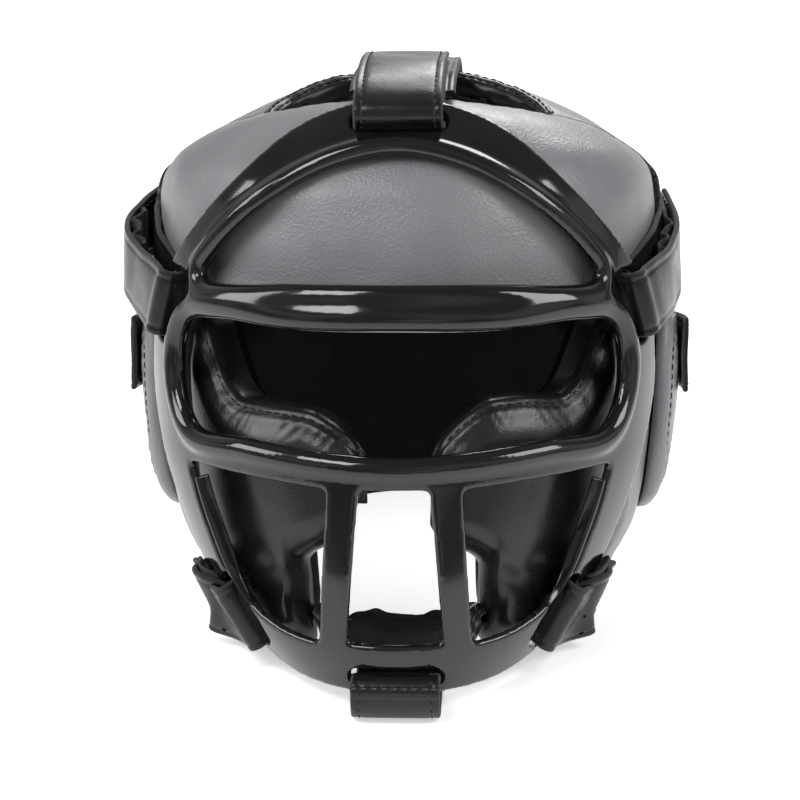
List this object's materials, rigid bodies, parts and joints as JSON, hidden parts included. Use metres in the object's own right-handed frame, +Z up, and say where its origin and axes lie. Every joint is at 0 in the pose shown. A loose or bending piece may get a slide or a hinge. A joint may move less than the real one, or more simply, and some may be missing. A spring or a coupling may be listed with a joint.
{
  "type": "full face sparring headgear",
  "caption": "Padded sparring helmet with an open crown, ear covers and a moulded glossy face cage held on by wide straps, for protecting a boxer's head and face.",
  "frame": {"origin": "centre of the bounding box in X and Y, on the surface it rests on", "axes": "+Z up, the face looks along -Y, +X is the right-hand side seen from the front"},
  "size_m": [0.2548, 0.2956, 0.2467],
  "materials": {
    "cage_plastic": "gloss",
    "pad_leather": "satin",
    "face_leather": "gloss",
    "strap_leather": "gloss"
  },
  "bodies": {
    "root": {"face_cage": "cage_plastic", "forehead_pad": "pad_leather", "back_pad": "pad_leather", "side_pad_left": "pad_leather", "side_pad_right": "pad_leather", "ear_pad_left": "pad_leather", "ear_pad_right": "pad_leather", "cheek_pad_left": "face_leather", "cheek_pad_right": "face_leather", "chin_pad": "face_leather", "crown_strap": "strap_leather", "top_strap": "strap_leather", "temple_strap_left": "strap_leather", "temple_strap_right": "strap_leather", "jaw_strap_left": "strap_leather", "jaw_strap_right": "strap_leather", "chin_strap": "strap_leather", "back_strap": "strap_leather"}
  },
  "joints": []
}
